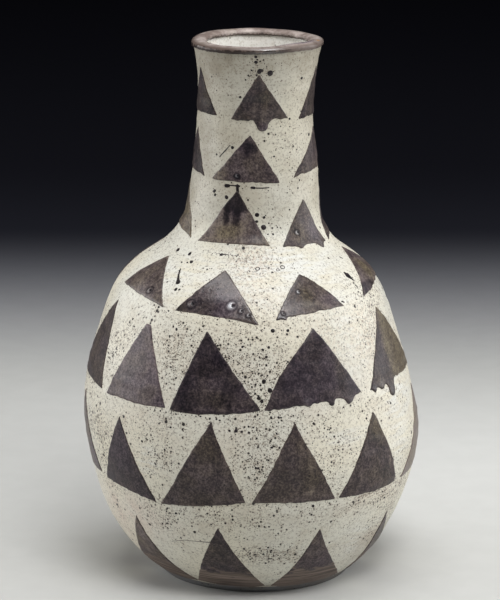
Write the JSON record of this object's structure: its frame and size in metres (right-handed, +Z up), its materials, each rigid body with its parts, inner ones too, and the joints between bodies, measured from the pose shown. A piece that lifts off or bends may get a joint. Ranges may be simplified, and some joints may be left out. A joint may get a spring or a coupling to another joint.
{
  "type": "pottery vase",
  "caption": "Round-bellied stoneware bottle vase with a waisted neck and rolled lip, cream coat and rows of dark iron-glaze triangles; holds stems or stands alone.",
  "frame": {"origin": "centre of the foot on the surface that the vase stands on", "axes": "+Z up along the axis of the vase; -Y towards the viewer of the picture, +X to the viewer's right"},
  "size_m": [0.2365, 0.2363, 0.38],
  "materials": {
    "stoneware": "matte bare fired clay",
    "liner_glaze": "satin cream glaze",
    "cream_glaze": "satin cream glaze with iron specks",
    "lip_glaze": "satin brown glaze",
    "iron_glaze": "satin dark brown iron glaze"
  },
  "bodies": {
    "root": {"foot_ring": "stoneware", "base_slab": "stoneware", "bowl_wall": "stoneware", "low_belly_wall": "stoneware", "high_belly_wall": "stoneware", "shoulder_wall": "stoneware", "collar_wall": "stoneware", "neck_wall": "stoneware", "lip_roll": "stoneware", "liner_glaze": "liner_glaze", "cream_coat": "cream_glaze", "lip_glaze": "lip_glaze", "neck_top_triangles": "iron_glaze", "neck_middle_triangles": "iron_glaze", "neck_low_triangles": "iron_glaze", "shoulder_triangles": "iron_glaze", "belly_high_triangles": "iron_glaze", "belly_low_triangles": "iron_glaze", "foot_triangles": "iron_glaze"}
  },
  "joints": []
}
